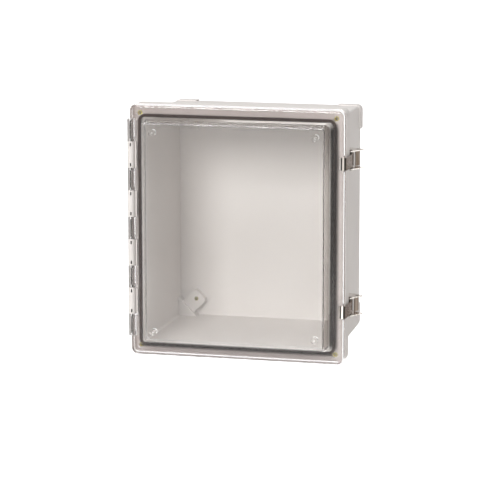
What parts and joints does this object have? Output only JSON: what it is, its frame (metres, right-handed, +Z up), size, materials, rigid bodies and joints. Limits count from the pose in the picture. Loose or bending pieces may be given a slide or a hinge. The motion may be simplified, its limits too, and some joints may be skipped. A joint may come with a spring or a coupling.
{
  "type": "hinged wall enclosure",
  "caption": "Wall enclosure with a grey box, a clear raised-window cover on a knuckled side hinge and two draw latches.",
  "frame": {"origin": "centre of the four wall inserts, on the rear faces of the corner pads", "axes": "+Z up the wall, +X to the right as one faces the cover, -Y out of the wall towards the viewer"},
  "size_m": [0.3479, 0.234, 0.3804],
  "materials": {
    "base_polycarbonate": "fine satin moulding",
    "clear_polycarbonate": "clear, polished",
    "gasket_foam": "foamed skin",
    "stainless": "bright rolled sheet",
    "brass": "machined"
  },
  "bodies": {
    "base": {"base_body": "base_polycarbonate", "hinge_pin": "stainless", "cover_screw_inserts": "brass", "panel_inserts": "brass", "wall_inserts": "brass", "latch_bracket_upper": "stainless", "latch_pivot_rivets_upper": "stainless", "latch_screws_upper": "stainless", "latch_bracket_lower": "stainless", "latch_pivot_rivets_lower": "stainless", "latch_screws_lower": "stainless"},
    "cover": {"cover": "clear_polycarbonate", "gasket": "gasket_foam"},
    "lever_upper": {"latch_lever_upper": "stainless", "latch_link_pin_upper": "stainless"},
    "hook_upper": {"latch_hook_upper": "stainless"},
    "lever_lower": {"latch_lever_lower": "stainless", "latch_link_pin_lower": "stainless"},
    "hook_lower": {"latch_hook_lower": "stainless"}
  },
  "joints": [
    {"name": "cover_hinge", "type": "hinge", "parent": "base", "child": "cover", "pos_m": [-0.162, -0.2053, 0.003], "axis": [0, 0, -1], "range_deg": [0, 180]},
    {"name": "lever_pivot_upper", "type": "hinge", "parent": "base", "child": "lever_upper", "pos_m": [0.1632, -0.1645, 0.111], "axis": [0, 0, -1], "range_deg": [0, 100]},
    {"name": "hook_pivot_upper", "type": "hinge", "parent": "lever_upper", "child": "hook_upper", "pos_m": [0.162, -0.1505, 0.111], "axis": [0, 0, -1], "range_deg": [-108, 0]},
    {"name": "lever_pivot_lower", "type": "hinge", "parent": "base", "child": "lever_lower", "pos_m": [0.1632, -0.1645, -0.11], "axis": [0, 0, -1], "range_deg": [0, 100]},
    {"name": "hook_pivot_lower", "type": "hinge", "parent": "lever_lower", "child": "hook_lower", "pos_m": [0.162, -0.1505, -0.11], "axis": [0, 0, -1], "range_deg": [-108, 0]}
  ],
  "couplings": [
    {"joint": "hook_pivot_upper", "follows": "lever_pivot_upper", "ratio": -1.08},
    {"joint": "hook_pivot_lower", "follows": "lever_pivot_lower", "ratio": -1.08}
  ]
}
